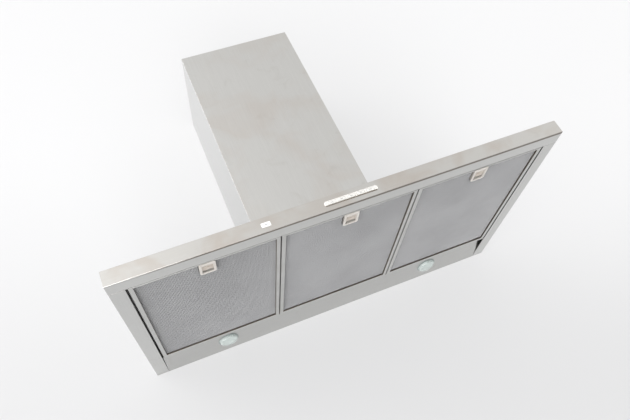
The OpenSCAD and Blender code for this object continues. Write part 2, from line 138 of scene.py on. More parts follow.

# %% [markdown]
# ## Stainless steel
# The sheets are AISI 304 stainless with a number 4 finish: the mill drags a fine abrasive
# belt along the sheet, which leaves parallel scratches. It could be done with an image of
# scratches, but noise stretched along one axis gives the same thing at any size. The
# scratches blur reflections more across the grain than along it. Real ones are about 0.05 mm
# apart, too fine to show, so they are drawn 0.7 mm apart and 60 mm long. On faces that look
# forward a slow noise mixes in patches that are a little darker and warmer, and behind the
# front's lower fold a thin brown line of painted shade darkens the crease.

# %% Painted shade behind a fold
def crease_shade_line(tree, tone, place, facing, middle, half, left_end):
    """A brown line of painted shade at one depth on the faces that look down, fading out to the
    left.
    """
    at = add(tree, "ShaderNodeSeparateXYZ", {"Vector": place})
    offset = add(tree, "ShaderNodeMath", {0: at.outputs["Y"], 1: middle}, operation="SUBTRACT")
    band = add(tree, "ShaderNodeMapRange", {
        "Value": add(tree, "ShaderNodeMath", {0: offset}, operation="ABSOLUTE"),
        "From Min": half * 0.7, "From Max": half * 1.3, "To Min": 1.0, "To Max": 0.0,
    })
    along = add(tree, "ShaderNodeMapRange", {
        "Value": at.outputs["X"], "From Min": left_end, "From Max": left_end + 140 * MM,
        "To Min": 0.12, "To Max": 0.9,
    })
    down = add(tree, "ShaderNodeMath", {0: facing.outputs["Z"], 1: -0.2}, operation="LESS_THAN")
    amount = add(tree, "ShaderNodeMath", {0: band, 1: down}, operation="MULTIPLY")
    amount = add(tree, "ShaderNodeMath", {0: amount, 1: along}, operation="MULTIPLY")
    return add(tree, "ShaderNodeMix", {0: amount, 6: tone, 7: linear("#6E655C")},
               data_type="RGBA")


print("grease line ready")

# %% Brushed sheet
STREAK, SMUDGE = (0.93, 0.93, 0.93, 1), (0.95, 0.942, 0.935, 1)


def brushed_stainless(name, grain, clean, front_pale, front_warm, line=None):
    """Brushed sheet whose grain runs along axis 0, 1 or 2.

    Faces that look forward get a warmer, patchier tone.
    A line is (y, half width, left end), where a brown line of painted shade darkens the crease
    behind a lower fold.
    """
    material, tree, place = start_material(name)
    stretch = [1 / (0.7 * MM)] * 3
    stretch[grain] = 1 / (60 * MM)
    scratches = add(tree, "ShaderNodeTexNoise", {
        "Vector": add(tree, "ShaderNodeMapping", {"Vector": place, "Scale": stretch}),
        "Scale": 1.0, "Detail": 3.0, "Roughness": 0.6,
    })
    patches = add(tree, "ShaderNodeTexNoise", {
        "Vector": place, "Scale": 1 / (110 * MM), "Detail": 3.0, "Roughness": 0.55,
        "Distortion": 0.6,
    })
    prints = add(tree, "ShaderNodeTexNoise", {
        "Vector": place, "Scale": 1 / (45 * MM), "Detail": 2.0, "Distortion": 1.2,
    })
    facing = add(tree, "ShaderNodeSeparateXYZ", {
        "Vector": add(tree, "ShaderNodeNewGeometry").outputs["Normal"],
    })
    forward = add(tree, "ShaderNodeMapRange", {
        "Value": facing.outputs["Y"], "From Min": 0.0, "From Max": -1.0,
    })
    front_tone = add(tree, "ShaderNodeValToRGB", {"Fac": patches}, stops=[
        (0.44, linear(front_pale)), (0.70, linear(front_warm)),
    ])
    tone = add(tree, "ShaderNodeMix", {0: forward, 6: linear(clean), 7: front_tone},
               data_type="RGBA")
    streak = add(tree, "ShaderNodeValToRGB", {"Fac": scratches}, stops=[
        (0.30, STREAK), (0.70, WHITE),
    ])
    smudge = add(tree, "ShaderNodeValToRGB", {"Fac": prints}, stops=[
        (0.62, WHITE), (0.76, SMUDGE),
    ])
    for layer in (streak, smudge):
        tone = add(tree, "ShaderNodeMix", {0: 1.0, 6: tone, 7: layer},
                   data_type="RGBA", blend_type="MULTIPLY")
    if line:
        tone = crease_shade_line(tree, tone, place, facing, *line)
    return finish_material(material, {
        "Base Color": tone, "Metallic": 1.0,
        "Roughness": add(tree, "ShaderNodeMapRange", {
            "Value": scratches, "To Min": 0.27, "To Max": 0.36,
        }),
        "Normal": add(tree, "ShaderNodeBump", {
            "Strength": 0.12, "Distance": 0.05 * MM, "Height": scratches,
        }),
    })


X_GRAIN, Y_GRAIN, Z_GRAIN = 0, 1, 2
# The brown line behind the front's lower fold is painted shade in the crease.
FRONT_CREASE_SHADE = (-522.2 * MM, 2.4 * MM, -420 * MM)
# The four sheets are one steel: the flue's lighter clean tone is painted light and the lamp
# panel's darker one is painted shade, each set for how bright that piece reads.
steel_canopy = brushed_stainless("brushed_stainless_canopy", X_GRAIN, "#CDCDCB", "#CAC8C4",
                                 "#BFB6AD", line=FRONT_CREASE_SHADE)
steel_panel = brushed_stainless("brushed_stainless_lamp_panel", X_GRAIN,
                                "#C4C4C2", "#BCBCBA", "#B4B2AE")
steel_side = brushed_stainless("brushed_stainless_side", Y_GRAIN,
                               "#CBCBC9", "#CAC8C4", "#BFB6AD")
steel_flue = brushed_stainless("brushed_stainless_flue", Z_GRAIN,
                               "#D3D3D2", "#CCCBC8", "#C9C5C0")
# A darker steel, painted into seams and hems as shade.
seam_shade = finish_material(start_material("painted_seam_shade")[0], {
    "Base Color": linear("#756E66"), "Metallic": 1.0, "Roughness": 0.5,
})
print("stainless finishes:", steel_canopy.name, steel_side.name, steel_flue.name)

# %% [markdown]
# ## Aluminium
# The filter cassettes are aluminium: the frames are roll-formed strip left in its mill
# finish, and the mesh is foil that is slit and pulled open. Mill finish is a little duller
# than polished metal, with faint lines from the rolls. Old kitchen grease dulls the mesh
# in slow patches.

# %% Aluminium
def rolled_aluminium(name, clean, dull, rough, patch_size=50 * MM):
    """Mill-finish aluminium with rolling lines and uneven dullness."""
    material, tree, place = start_material(name)
    patches = add(tree, "ShaderNodeTexNoise", {
        "Vector": place, "Scale": 1 / patch_size, "Detail": 4.0, "Roughness": 0.6,
    })
    across, along = 1 / (0.5 * MM), 1 / (50 * MM)
    lines = add(tree, "ShaderNodeTexNoise", {
        "Vector": add(tree, "ShaderNodeMapping", {
            "Vector": place, "Scale": (across, along, across),
        }),
        "Scale": 1.0, "Detail": 2.0,
    })
    return finish_material(material, {
        "Base Color": add(tree, "ShaderNodeValToRGB", {"Fac": patches}, stops=[
            (0.35, linear(clean)), (0.75, linear(dull)),
        ]),
        "Metallic": 1.0,
        "Roughness": add(tree, "ShaderNodeMapRange", {
            "Value": patches, "To Min": rough[0], "To Max": rough[1],
        }),
        "Normal": add(tree, "ShaderNodeBump", {
            "Strength": 0.10, "Distance": 0.05 * MM, "Height": lines,
        }),
    })


frame_aluminium = rolled_aluminium("mill_finish_aluminium_frame", "#C6C6C4", "#BCBCB9",
                                   (0.30, 0.42))
mesh_aluminium = rolled_aluminium("expanded_aluminium_mesh", "#A3A3A4", "#9B9B9C",
                                  (0.60, 0.75), patch_size=200 * MM)
bright_aluminium = rolled_aluminium("spun_aluminium_reflector", "#DEDEDC", "#CFCFCC",
                                    (0.12, 0.2), patch_size=20 * MM)
print("aluminium finishes:", frame_aluminium.name, mesh_aluminium.name)

# %% [markdown]
# ## Moulded plastics
# ABS for the latches and the key strip comes out of a satin mould, so it has a fine even
# texture and a soft highlight. The texture could be displaced geometry, but it is a third
# of a millimetre across, so a faint bump from noise shows it at no cost. A second, slow
# noise shifts the tone a little, as old plastic yellows unevenly.

# %% Plastics
def moulded_plastic(name, colour, shade, rough, ior=1.5):
    """A moulded part with a fine mould texture and a slight unevenness of tone."""
    material, tree, place = start_material(name)
    tone = add(tree, "ShaderNodeTexNoise", {
        "Vector": place, "Scale": 1 / (30 * MM), "Detail": 3.0,
    })
    texture = add(tree, "ShaderNodeTexNoise", {
        "Vector": place, "Scale": 1 / (0.35 * MM), "Detail": 2.0,
    })
    return finish_material(material, {
        "Base Color": add(tree, "ShaderNodeValToRGB", {"Fac": tone}, stops=[
            (0.35, linear(colour)), (0.75, linear(shade)),
        ]),
        "IOR": ior,
        "Roughness": add(tree, "ShaderNodeMapRange", {
            "Value": texture, "To Min": rough - 0.06, "To Max": rough + 0.06,
        }),
        "Normal": add(tree, "ShaderNodeBump", {
            "Strength": 0.08, "Distance": 0.1 * MM, "Height": texture,
        }),
    })


ivory_abs = moulded_plastic("ivory_abs_latch", "#BAB6B1", "#B2ADA6", 0.42)
ivory_slide = moulded_plastic("ivory_abs_slide", "#B0A8A0", "#A59C92", 0.48)
white_abs = moulded_plastic("white_abs_key_strip", "#DAD8D4", "#D3D0CB", 0.34)
white_key = moulded_plastic("white_abs_key", "#D6D5D2", "#CFCDC9", 0.30)
black_pp = moulded_plastic("black_polypropylene", "#232324", "#2E2E2F", 0.5)
grey_pp = moulded_plastic("grey_polypropylene_spigot", "#3A3B3C", "#48494A", 0.5)
cream_case = moulded_plastic("cream_capacitor_case", "#D9D5C8", "#CCC7B8", 0.45)
steatite = moulded_plastic("steatite_ceramic_socket", "#E9E4D8", "#DDD6C6", 0.6, ior=1.6)
paper_label = moulded_plastic("coated_paper_label", "#F4F5F6", "#EDEEF0", 0.4)
green_board = moulded_plastic("solder_mask_board", "#1F5A36", "#2A6B42", 0.35)
# Grey painted shade for the gap round the lamp cover's rim.
lens_rim_shade = moulded_plastic("painted_lens_rim_shade", "#7F8785", "#8C9391", 0.55)
print("plastics ready")

# %% [markdown]
# ## Pressed glass
# The lamp covers are pressed soda-lime glass: clear enough to see the reflector, wavy
# enough to blur it, and faintly green from its iron. The waves could be modelled, but a
# bump in 6 mm ripples bends the light in the same way and keeps the cover's outline round.

# %% Pressed glass
def pressed_glass(name, tint, clear, rough, ripple):
    """Clear glass with a rippled moulded surface."""
    material, tree, place = start_material(name)
    ripples = add(tree, "ShaderNodeTexNoise", {
        "Vector": place, "Scale": 1 / (6 * MM), "Detail": 2.0,
    })
    return finish_material(material, {
        "Base Color": linear(tint), "IOR": 1.52, "Transmission Weight": clear,
        "Roughness": add(tree, "ShaderNodeMapRange", {
            "Value": ripples, "To Min": rough * 0.7, "To Max": rough * 1.3,
        }),
        "Normal": add(tree, "ShaderNodeBump", {
            "Strength": ripple, "Distance": 0.4 * MM, "Height": ripples,
        }),
    })


lamp_glass = pressed_glass("frosted_soda_lime_glass", "#D0D9D6", 0.45, 0.16, 0.7)
bulb_glass = pressed_glass("quartz_capsule_glass", "#F4F6F4", 1.0, 0.05, 0.05)
print("glass ready")

# %% [markdown]
# ## Galvanised and plated steel
# The blower box is hot-dip galvanised: the zinc freezes in flat crystals called spangle,
# each with its own tone and gloss. Voronoi cells are just such a pattern, so one cell
# colour sets both. The same finish with small cells stands for bright zinc plate, a ground
# shaft and drawn wire, whose surfaces are fine and nearly even.

# %% Galvanised and plated steel
def galvanised(name, dark_zinc, light_zinc, spangle=12 * MM, rough=(0.35, 0.55)):
    """Hot-dip zinc with crystals about 12 mm across, each its own tone."""
    material, tree, place = start_material(name)
    crystals = add(tree, "ShaderNodeTexVoronoi", {"Vector": place, "Scale": 1 / spangle})
    tone = add(tree, "ShaderNodeSeparateColor", {"Color": crystals.outputs["Color"]})
    return finish_material(material, {
        "Base Color": add(tree, "ShaderNodeValToRGB", {"Fac": tone.outputs["Red"]}, stops=[
            (0.0, linear(dark_zinc)), (1.0, linear(light_zinc)),
        ]),
        "Metallic": 1.0,
        "Roughness": add(tree, "ShaderNodeMapRange", {
            "Value": tone.outputs["Green"], "To Min": rough[0], "To Max": rough[1],
        }),
    })


zinc_sheet = galvanised("galvanised_sheet", "#9FA4A7", "#BCC0C2")
zinc_screw = galvanised("bright_zinc_plate", "#B5B8BB", "#C9CBCD", 2 * MM, (0.22, 0.34))
motor_enamel = moulded_plastic("dipped_motor_enamel", "#2C2E30", "#3A3C3E", 0.42)
ground_shaft = galvanised("ground_steel_shaft", "#B9BABC", "#CFD0D1", 3 * MM, (0.18, 0.28))
spring_wire = galvanised("drawn_spring_wire", "#8E9092", "#A6A8AA", 3 * MM, (0.25, 0.4))
print("metals ready")

# %% [markdown]
# ## Print and painted shadow on the plastics
# The keys carry small pad-printed marks, and a brown line of painted shadow runs along
# the strip's lower rim. A decal sheet or an image could carry both. Here each mark is a box in
# the piece's own coordinates that turns the colour beneath it to a flat tone, so the marks
# stay sharp at any size. The real signs are left out and plain dashes stand for them.

# %% Print and painted shadow on the plastics
def in_box(tree, middle, half, repeat=None):
    """One inside a box given in object coordinates, or in a row of them along X."""
    at = add(tree, "ShaderNodeSeparateXYZ", {
        "Vector": add(tree, "ShaderNodeTexCoord").outputs["Object"],
    })
    inside = 1.0
    for axis, centre, reach in zip("XYZ", middle, half):
        if reach is None:
            continue
        away = add(tree, "ShaderNodeMath", {0: at.outputs[axis], 1: centre},
                   operation="SUBTRACT")
        if repeat and axis == "X":
            away = add(tree, "ShaderNodeMath", {0: away, 1: repeat / 2}, operation="PINGPONG")
        away = add(tree, "ShaderNodeMath", {0: away}, operation="ABSOLUTE")
        near = add(tree, "ShaderNodeMath", {0: away, 1: reach}, operation="LESS_THAN")
        inside = add(tree, "ShaderNodeMath", {0: inside, 1: near}, operation="MULTIPLY")
    return inside


def print_on(material, colour, middle, half, repeat=None):
    """Lays a flat tone over a material's colour inside a box."""
    tree = material.node_tree
    socket = tree.nodes["Principled BSDF"].inputs["Base Color"]
    under = socket.links[0].from_socket
    printed = add(tree, "ShaderNodeMix", {
        0: in_box(tree, middle, half, repeat), 6: under, 7: linear(colour),
    }, data_type="RGBA")
    tree.links.new(printed.outputs[2], socket)


STRIP_Z, STRIP_RIM, KEY_PITCH = 14.5 * MM, 5 * MM, 19 * MM
LABEL_X, LABEL_Z = -163 * MM, 14.4 * MM
print_on(white_key, "#A6A6A3", (0, 0, STRIP_Z), (2.4 * MM, None, 0.8 * MM), KEY_PITCH)
# A brown line of painted shadow under the strip's lower rim.
print_on(white_abs, "#6F675E", (0, 0, STRIP_Z - STRIP_RIM), (None, None, 1.5 * MM))
print_on(paper_label, "#9C9C9F", (LABEL_X, 0, LABEL_Z), (4.2 * MM, None, 0.9 * MM))
print("print and dirt added")

# %% [markdown]
# ## From a CAD sheet to a folded sheet
# The CAD solids have knife edges. A real sheet has a round bend where it was folded and a
# small deburred edge where it was cut, and those are what catch the light. One way is to
# model each sheet again. It is safer to copy the CAD piece's mesh, merge its loose
# triangles into clean faces, and let a Bevel modifier round the edges, because then
# nothing moves. Bevel weights say how round: a full weight on the folds and a small one on
# every other sharp edge.

# %% Copy and round a CAD piece
body_of = {}
for body, members in frame["record"]["behaviour"]["bodies"].items():
    for member in members:
        body_of[member] = body


def finished(piece):
    """Applies the piece's modifiers, so that a plain mesh is left."""
    graph = bpy.context.evaluated_depsgraph_get()
    mesh = bpy.data.meshes.new_from_object(piece.evaluated_get(graph), depsgraph=graph,
                                           preserve_all_data_layers=True)
    piece.modifiers.clear()
    piece.data = mesh
    return piece


def stand_in(piece, node):
    """Rides the piece on its node's body and lets it replace the node."""
    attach(piece, body_of[node])
    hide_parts(node)
    return piece


def clean_copy(node):
    """The node's mesh with its doubles merged and its flat faces joined."""
    shape = bmesh.new()
    shape.from_mesh(frame["nodes"][node].data)
    bmesh.ops.remove_doubles(shape, verts=shape.verts, dist=0.002 * MM)
    bmesh.ops.dissolve_limit(shape, angle_limit=math.radians(0.2), verts=shape.verts,
                             edges=shape.edges)
    return shape


def matches(edge, fold):
    """True if both ends of the edge have the fold's coordinates, where None is any."""
    for vertex in edge.verts:
        for place, wanted in zip(vertex.co, fold[:3]):
            if wanted is not None and abs(place - wanted) > 0.01 * MM:
                return False
    return True


def rounded(node, material, folds=(), burr=0.15 * MM, segments=3, smooth=25, crease_shaded=None):
    """Replaces a CAD node by a copy with rounded edges.

    A fold is (x, y, z, radius) with None along its length, and burr rounds the other edges.
    The last argument is a test for the faces where a seam is darkened with painted shade.
    """
    shape = clean_copy(node)
    if crease_shaded:
        for face in shape.faces:
            face.material_index = int(crease_shaded(face))
    widest = max([fold[3] for fold in folds] + [burr])
    weight = shape.edges.layers.float.new("bevel_weight_edge")
    for edge in shape.edges:
        if len(edge.link_faces) == 2 and edge.calc_face_angle(0) > math.radians(smooth):
            radius = next((fold[3] for fold in folds if matches(edge, fold)), burr)
            edge[weight] = radius / widest
    mesh = bpy.data.meshes.new(node)
    shape.to_mesh(mesh)
    shape.free()
    mesh.shade_smooth()
    mesh.set_sharp_from_angle(angle=math.radians(smooth))
    mesh.materials.append(material)
    if crease_shaded:
        mesh.materials.append(seam_shade)
    piece = bpy.data.objects.new(node + "_finished", mesh)
    bpy.context.scene.collection.objects.link(piece)
    bevel = piece.modifiers.new("edges", "BEVEL")
    bevel.limit_method = "WEIGHT"
    bevel.width = widest
    bevel.segments = segments
    bevel.use_clamp_overlap = True
    bevel.harden_normals = True
    return stand_in(finished(piece), node)


def triangles(piece):
    """How many triangles a piece has."""
    return sum(len(face.vertices) - 2 for face in piece.data.polygons)


print("nodes by body:", len(body_of))

# %% [markdown]
# ## The canopy's sheets
# The canopy is five folded sheets, welded and then brushed again, so that the top, front
# and sides look like one skin. A press brake leaves an outer radius of about twice the
# sheet's thickness and an inner one of about one thickness. Each fold is named by the line
# that it runs along, and where two sheets are welded flush the edges stay sharp, with a
# radius of zero, so that no false groove shows.

# %% Canopy sheets
SHEET = 1 * MM
OUTER_BEND, INNER_BEND = 1.9 * MM, 0.95 * MM
TIGHT_BEND, FRONT_BEND = 0.9 * MM, 2.6 * MM
FRONT_RAIL, RAIL_EDGE = 34 * MM, 421.5 * MM

canopy_low, canopy_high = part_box("front_fascia")
half_width, front, seam = canopy_high.x, canopy_low.y, canopy_high.z
top_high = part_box("canopy_top_plate")[1]

top_folds = [(None, front, top_high.z, TIGHT_BEND)]
top_folds += [(side * half_width, None, top_high.z, TIGHT_BEND) for side in (-1, 1)]
top_folds += [(side * half_width, front, None, TIGHT_BEND) for side in (-1, 1)]
top_folds += [(None, front, seam, 0.0)]
top_folds += [(side * half_width, None, seam, 0.0) for side in (-1, 1)]
rounded("canopy_top_plate", steel_canopy, top_folds)

rail_back = front + FRONT_RAIL
fascia_folds = [
    (None, front, seam, 0.0), (None, front + SHEET, seam, 0.0),
    (None, front, 0.0, FRONT_BEND), (None, front + SHEET, SHEET, INNER_BEND),
    (None, rail_back, 0.0, OUTER_BEND), (None, rail_back - SHEET, SHEET, INNER_BEND),
]
fascia_folds += [(side * half_width, front, None, TIGHT_BEND) for side in (-1, 1)]
fascia_folds += [(side * half_width, None, 0.0, TIGHT_BEND) for side in (-1, 1)]
rounded("front_fascia", steel_canopy, fascia_folds)

for name, side in (("side_cheek_left", -1), ("side_cheek_right", 1)):
    inner = side * (half_width - SHEET)
    cheek_folds = [
        (side * half_width, None, seam, 0.0), (inner, None, seam, 0.0),
        (side * half_width, None, 0.0, TIGHT_BEND), (inner, None, SHEET, INNER_BEND),
        (side * RAIL_EDGE, None, 0.0, TIGHT_BEND),
    ]
    rounded(name, steel_side, cheek_folds)

rounded("rear_panel", steel_canopy)
panel_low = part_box("lamp_panel")[0]
SLOPE_RUN, SLOPE_RISE, SHELF = 82 * MM, 8 * MM, 12 * MM


def in_step(face):
    """True for the faces of the step between the slope and the shelf."""
    middle = face.calc_center_median()
    return (panel_low.y - 0.5 * MM < middle.y < -SLOPE_RUN + 0.5 * MM
            and middle.z > SLOPE_RISE + 0.3 * MM
            and (face.normal.y < -0.9 or face.normal.z < -0.9))


# The step between the slope and the shelf is darkened with painted seam shade.
rounded("lamp_panel", steel_panel, [
    (None, -SLOPE_RUN, SLOPE_RISE, 1.2 * MM), (None, -SLOPE_RUN, SHELF, INNER_BEND),
    (None, -SLOPE_RUN + SHEET, SHELF + SHEET, OUTER_BEND),
    (None, panel_low.y, SHELF, OUTER_BEND),
    (None, panel_low.y + SHEET, SHELF + SHEET, INNER_BEND),
], crease_shaded=in_step)
rounded("hinge_brackets", steel_side)
print("canopy is", round(2 * half_width / MM), "mm wide with its front at", round(front / MM))

# %% [markdown]
# ## The two flues
# Each flue is a U-shaped sheet with narrow returns at the back. The grain runs up it. The
# upper one slides inside the lower one, with air slots near its top.

# %% Flues
def flue_folds(node):
    """The four upright bends of a flue with its box, its wall and its back returns."""
    low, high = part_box(node)
    folds = []
    for side, inward in ((low.x, SHEET), (high.x, -SHEET)):
        folds += [(side, low.y, None, OUTER_BEND), (side, high.y, None, OUTER_BEND)]
        folds += [(side + inward, low.y + SHEET, None, INNER_BEND)]
        folds += [(side + inward, high.y - SHEET, None, INNER_BEND)]
    return folds


rounded("flue_lower", steel_flue, flue_folds("flue_lower"))
rounded("flue_upper", steel_flue, flue_folds("flue_upper"))

# %% [markdown]
# ## Filter cassettes
# Each cassette is an aluminium strip, rolled into a channel and wrapped round a stack of
# expanded mesh. It swings down and lifts out to be washed. Air turns through the mesh and
# the grease stays on the strands. The channel could be drawn as a profile swept round a
# rectangle, but the CAD frame already has its flanges and its hem, so only its edges are
# rolled. The faces inside the hem are darkened with painted seam shade.

# %% Filter frames
SIDES = ("left", "centre", "right")
TUCK, HEM, DEPTH, REAR_EDGE = 2.5 * MM, 4 * MM, 10 * MM, -103 * MM
ROLLED, LIP = 1.4 * MM, 0.95 * MM
for side in SIDES:
    node = f"filter_{side}_frame"
    low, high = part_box(node)
    inner_low, inner_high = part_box(f"filter_{side}_face_mesh")
    inner_low, inner_high = inner_low + Vector((TUCK,) * 3), inner_high - Vector((TUCK,) * 3)
    folds = [(x, None, z, ROLLED) for x in (low.x, high.x) for z in (0.0, DEPTH)]
    folds += [(None, low.y, DEPTH, ROLLED), (None, low.y, 0.0, 0.3 * MM)]
    folds += [(None, REAR_EDGE, z, ROLLED) for z in (0.0, DEPTH)]
    folds += [(x, None, 0.0, LIP) for x in (inner_low.x, inner_high.x)]
    folds += [(None, inner_high.y, 0.0, LIP)]

    def in_hem(face):
        """True for the inside of the hem round the mesh, which is darkened with painted shade.
        """
        middle = face.calc_center_median()
        return (abs(face.normal.z) < 0.1 and 0.2 * MM < middle.z < HEM
                and inner_low.x - 0.1 * MM < middle.x < inner_high.x + 0.1 * MM
                and inner_low.y - 0.1 * MM < middle.y < inner_high.y + 0.1 * MM)

    rounded(node, frame_aluminium, folds, crease_shaded=in_hem)
print("filter frames done")

# %% [markdown]
# ## Expanded mesh
# Expanded mesh is foil with rows of short slits, pulled until each slit opens into a
# diamond. A tiled image with transparency would be light but flat from the side, and an
# array modifier can't leave room for the latch. So Geometry Nodes puts a point at every
# knot, drops the knots where the latch sits, and puts two short strands on each one that is
# left. Cells of 5 mm by 3 mm are a little coarse, which keeps the triangle count down.

# %% Starting and ending a tree
def node_group(name, sizes):
    """An empty Geometry Nodes tree with named length inputs, a material and an output."""
    tree = bpy.data.node_groups.new(name, "GeometryNodeTree")
    tree.interface.new_socket("Geometry", in_out="INPUT", socket_type="NodeSocketGeometry")
    for title, value in sizes.items():
        socket = tree.interface.new_socket(title, in_out="INPUT", socket_type="NodeSocketFloat")
        socket.default_value = value
    tree.interface.new_socket("Material", in_out="INPUT", socket_type="NodeSocketMaterial")
    tree.interface.new_socket("Geometry", in_out="OUTPUT", socket_type="NodeSocketGeometry")
    return tree


def close_tree(tree, given, geometry):
    """Realises the instances, sets the material and ends the tree."""
    painted = add(tree, "GeometryNodeSetMaterial", {
        "Geometry": add(tree, "GeometryNodeRealizeInstances", {"Geometry": geometry}),
        "Material": given["Material"],
    })
    add(tree, "NodeGroupOutput", {"Geometry": painted})
    return tree


def grown(name, tree, values, material, places=()):
    """A plain mesh made by a Geometry Nodes tree with these inputs, from these points."""
    start = bpy.data.meshes.new(name)
    start.from_pydata(places, [], [])
    piece = bpy.data.objects.new(name, start)
    bpy.context.scene.collection.objects.link(piece)
    modifier = piece.modifiers.new("grow", "NODES")
    modifier.node_group = tree
    for item in tree.interface.items_tree:
        if item.in_out == "INPUT" and item.name in values:
            modifier[item.identifier] = values[item.name]
        elif item.in_out == "INPUT" and item.name == "Material":
            modifier[item.identifier] = material
    return finished(piece)


print("tree tools ready")

# %% Knots
def knot_grid(tree, given):
    """A point at every knot, in rows half a cell apart, and how many rows there are."""
    half_cell = add(tree, "ShaderNodeMath", {0: given["Cell Y"], 1: 0.5}, operation="MULTIPLY")
    counts, sizes = [], []
    for length, step in ((given["Width"], given["Cell X"]), (given["Length"], half_cell)):
        fits = add(tree, "ShaderNodeMath", {0: length, 1: step}, operation="DIVIDE")
        counts.append(add(tree, "ShaderNodeMath", {0: fits}, operation="FLOOR"))
        sizes.append(add(tree, "ShaderNodeMath", {0: counts[-1], 1: step},
                         operation="MULTIPLY"))
    grid = add(tree, "GeometryNodeMeshGrid", {
        "Size X": sizes[0], "Size Y": sizes[1], "Vertices X": counts[0],
        "Vertices Y": counts[1],
    })
    return grid, counts[1]


def row_shift(tree, given, rows):
    """Moves the grid to its middle, and its rows a quarter cell to the left or the right."""
    index = add(tree, "GeometryNodeInputIndex")
    row = add(tree, "ShaderNodeMath", {0: index, 1: rows}, operation="MODULO")
    odd = add(tree, "ShaderNodeMath", {0: row, 1: 2.0}, operation="MODULO")
    way = add(tree, "ShaderNodeMath", {0: odd, 1: 0.5}, operation="SUBTRACT")
    half_cell = add(tree, "ShaderNodeMath", {0: given["Cell X"], 1: 0.5}, operation="MULTIPLY")
    shift = add(tree, "ShaderNodeMath", {0: way, 1: half_cell}, operation="MULTIPLY")
    return add(tree, "ShaderNodeCombineXYZ", {
        "X": add(tree, "ShaderNodeMath", {0: given["Middle X"], 1: shift}, operation="ADD"),
        "Y": given["Middle Y"], "Z": given["Level"],
    })


def in_pocket(tree, given):
    """One for the knots where the latch's pocket comes through the mesh."""
    place = add(tree, "ShaderNodeSeparateXYZ", {
        "Vector": add(tree, "GeometryNodeInputPosition"),
    })
    offset = add(tree, "ShaderNodeMath", {0: place.outputs["X"], 1: given["Middle X"]},
                 operation="SUBTRACT")
    aside = add(tree, "ShaderNodeMath", {0: offset}, operation="ABSOLUTE")
    inside = 1.0
    for value, limit, side in (
        (aside, given["Pocket Half Width"], "LESS_THAN"),
        (place.outputs["Y"], given["Pocket Front"], "GREATER_THAN"),
        (place.outputs["Y"], given["Pocket Back"], "LESS_THAN"),
    ):
        within = add(tree, "ShaderNodeMath", {0: value, 1: limit}, operation=side)
        inside = add(tree, "ShaderNodeMath", {0: inside, 1: within}, operation="MULTIPLY")
    return inside


print("knots ready")

# %% Strands and the whole mesh
def strand_pair(tree, given):
    """The two strands that run back from a knot, one to each side."""
    diagonal = add(tree, "ShaderNodeVectorMath", {
        0: add(tree, "ShaderNodeCombineXYZ", {"X": given["Cell X"], "Y": given["Cell Y"]}),
    }, operation="LENGTH")
    strand = add(tree, "GeometryNodeMeshCylinder", {
        "Vertices": 3, "Radius": given["Strand"],
        "Depth": add(tree, "ShaderNodeMath", {0: diagonal, 1: 0.5}, operation="MULTIPLY"),
    }, fill_type="NONE")
    angle = add(tree, "ShaderNodeMath", {0: given["Cell Y"], 1: given["Cell X"]},
                operation="ARCTAN2")
    both = tree.nodes.new("GeometryNodeJoinGeometry")
    for lean in (1.0, -1.0):
        turned = add(tree, "GeometryNodeTransform", {
            "Geometry": strand.outputs["Mesh"],
            "Translation": add(tree, "ShaderNodeVectorMath", {
                0: add(tree, "ShaderNodeCombineXYZ", {
                    "X": given["Cell X"], "Y": given["Cell Y"],
                }),
                1: (0.25 * lean, 0.25, 0.0),
            }, operation="MULTIPLY"),
            "Rotation": add(tree, "ShaderNodeCombineXYZ", {
                "Y": math.pi / 2,
                "Z": add(tree, "ShaderNodeMath", {0: angle, 1: lean}, operation="MULTIPLY"),
            }),
        })
        tree.links.new(turned.outputs["Geometry"], both.inputs["Geometry"])
    return both


def expanded_mesh_tree():
    """Rows of knots, every second row shifted by half a cell, with two strands at each."""
    tree = node_group("expanded_mesh", {
        "Width": 0.26, "Length": 0.38, "Cell X": 0.005, "Cell Y": 0.003, "Strand": 0.0004,
        "Level": 0.0, "Middle X": 0.0, "Middle Y": 0.0,
        "Pocket Half Width": 0.0, "Pocket Front": 0.0, "Pocket Back": 0.0,
    })
    given = tree.nodes.new("NodeGroupInput").outputs
    knots, rows = knot_grid(tree, given)
    shifted = add(tree, "GeometryNodeSetPosition", {
        "Geometry": knots, "Offset": row_shift(tree, given, rows),
    })
    kept = add(tree, "GeometryNodeDeleteGeometry", {
        "Geometry": shifted, "Selection": in_pocket(tree, given),
    })
    lattice = add(tree, "GeometryNodeInstanceOnPoints", {
        "Points": kept, "Instance": strand_pair(tree, given),
    })
    return close_tree(tree, given, lattice)


print("mesh tree ready")

# %% Face and rear meshes
LATCH_HALF_WIDTH = 14 * MM
mesh_tree = expanded_mesh_tree()
for side in SIDES:
    pocket_low, pocket_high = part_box(f"latch_{side}_housing")
    for layer, cell_x, cell_y, strand in (("face", 5, 3.2, 0.52), ("rear", 8, 5, 0.55)):
        node = f"filter_{side}_{layer}_mesh"
        low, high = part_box(node)
        piece = grown(node + "_expanded", mesh_tree, {
            "Width": high.x - low.x - 1 * MM, "Length": high.y - low.y - 1 * MM,
            "Cell X": cell_x * MM, "Cell Y": cell_y * MM, "Strand": strand * MM,
            "Level": (low.z + high.z) / 2,
            "Middle X": (low.x + high.x) / 2, "Middle Y": (low.y + high.y) / 2,
            "Pocket Half Width": LATCH_HALF_WIDTH if layer == "face" else 0.0,
            "Pocket Front": pocket_low.y - 1 * MM, "Pocket Back": pocket_high.y - 1.5 * MM,
        }, mesh_aluminium)
        stand_in(piece, node)
    print(side, "mesh triangles:", triangles(piece))

# %% [markdown]
# ## Latches
# A sprung slide in an ivory ABS housing holds the front of each filter. A finger goes into
# the recess, pulls the slide back and lets the filter swing down. The CAD pieces already
# have the recess, the ribs and the bolt, so they only need moulded edges: 0.2 mm, which is
# what a toolmaker leaves, and a rounder rim where a finger rubs. The spring is the CAD coil
# in drawn wire.

